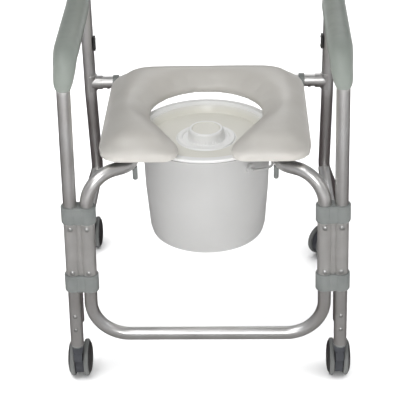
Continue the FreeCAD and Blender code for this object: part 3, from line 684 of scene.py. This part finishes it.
def square(name, height, size, material):
    """Level floor or card, centred below the chair."""
    bm = bmesh.new()
    for x, y in ((-0.5, -0.5), (0.5, -0.5), (0.5, 0.5), (-0.5, 0.5)):
        bm.verts.new((x * size, y * size, 0))
    bm.faces.new(bm.verts)
    piece = new_piece(name, bm, material, smooth=False)
    piece.location.z = height
    return piece


def area_light(name, at, size, power):
    """Square softbox aimed at the chair."""
    data = bpy.data.lights.new(name, "AREA")
    data.shape = "SQUARE"
    data.size = size
    data.energy = power
    light = add_to_scene(name, data)
    light.location = at
    light.rotation_euler = (AIM - Vector(at)).to_track_quat("-Z", "Y").to_euler()


def floor_light(floor):
    """Wide soft light from above that falls on the floor alone and keeps it pale."""
    data = bpy.data.lights.new("floor_wash", "SUN")
    data.energy = 3.2
    data.angle = 1.6
    light = add_to_scene("floor_wash", data)
    only_floor = bpy.data.collections.new("floor_only")
    only_floor.objects.link(floor)
    light.light_linking.receiver_collection = only_floor


def card_material():
    """Reflection card of painted reflections: a near-white painted pool of light far in front, mid grey below the
    chair and brown-black painted shade behind it.
    """
    mat, tree, shader = node_material("reflection_card")
    split = tree.nodes.new("ShaderNodeSeparateXYZ")
    tree.links.new(place(tree), split.inputs["Vector"])
    # Each tone is a painted reflection for the metal: near white far in front for a lit floor, greys nearer the
    # chair and brown-black painted shade behind it
    tones = ((-1.50, (0.95, 0.95, 0.95)), (-1.25, (0.62, 0.615, 0.61)), (-1.05, (0.42, 0.41, 0.40)),
             (-0.92, (0.29, 0.275, 0.27)), (-0.70, (0.30, 0.285, 0.28)), (-0.55, (0.48, 0.47, 0.46)),
             (-0.32, (0.44, 0.43, 0.42)), (-0.10, (0.11, 0.085, 0.085)), (CARD_REAR, (0.07, 0.055, 0.055)))
    bands = colour_bands(tree, map_range(tree, split.outputs["Y"], CARD_FRONT, CARD_REAR),
                         [((y - CARD_FRONT) / (CARD_REAR - CARD_FRONT), colour) for y, colour in tones])
    tree.links.new(bands, shader.inputs["Base Color"])
    shader.inputs["Roughness"].default_value = 0.9
    shader.inputs["Specular IOR Level"].default_value = 0.0
    return mat


def show_only_to(piece, ray):
    """Show a stage piece to one kind of ray, "camera" or "glossy", and to no other."""
    for kind in ("camera", "diffuse", "glossy", "shadow", "transmission"):
        setattr(piece, "visible_" + kind, kind == ray)


def backdrop():
    """Pale wall far round the chair, seen by the camera and nothing else."""
    mat, tree, shader = node_material("pale_wall")
    tree.links.new(ramp(tree, noise(tree, 4.0, 2.0), (0.90, 0.90, 0.90), (0.93, 0.93, 0.93)),
                   shader.inputs["Emission Color"])
    shader.inputs["Emission Strength"].default_value = 1.0
    shader.inputs["Base Color"].default_value = (0, 0, 0, 1)
    bm = bmesh.new()
    bridge(bm, [[bm.verts.new((WALL_R * math.cos(a), WALL_R * math.sin(a), z)) for a in angles(WALL_STEPS)]
                for z in (WALL_FOOT, WALL_HEIGHT)])
    wall = new_piece("pale_wall", bm, mat)
    show_only_to(wall, "camera")


def build_stage():
    """Pale floor and wall, soft lights and a card that only the metal sees."""
    bpy.context.scene.view_settings.view_transform = "Standard"
    floor_light(square("floor", FLOOR_HEIGHT, 2 * WALL_R, floor_material()))
    backdrop()
    world = bpy.data.worlds.new("studio")
    bpy.context.scene.world = world
    world.use_nodes = True
    sky = world.node_tree.nodes["Background"]
    sky.inputs["Color"].default_value = (0.97, 0.98, 1.0, 1)
    sky.inputs["Strength"].default_value = 0.30
    area_light("flash", (0.0, -2.75, 1.85), size=0.5, power=25)
    area_light("key", (-0.9, -1.0, 2.7), size=1.3, power=20)
    area_light("right", (2.2, -0.9, 2.0), size=1.5, power=8)
    area_light("behind", (0.4, 2.6, 2.2), size=1.6, power=10)
    # The card carries painted reflections, with painted light and painted shade, that only the metal shows
    show_only_to(square("painted_reflection_card", CARD_HEIGHT, CARD_SIZE, card_material()), "glossy")


# ---------------------------------------------------------------- everything together

def finish_frame_nodes(materials):
    """Give every frame node that stays in view its slot's material."""
    slots = {part["node"]: part["material_slot"] for part in frame["record"]["subparts"]}
    for name, node in frame["nodes"].items():
        node.data.materials.clear()
        node.data.materials.append(materials[slots[name]])


place_camera()
build_stage()
MATERIALS = make_materials()
finish_frame_nodes(MATERIALS)
seat_cover(MATERIALS)
backrest_cover(MATERIALS)
for NAME in SIDES:
    arm_grip(NAME, MATERIALS)
for CASTER in CASTERS:
    for LETTER in "ab":
        wheel(CASTER, LETTER, MATERIALS)
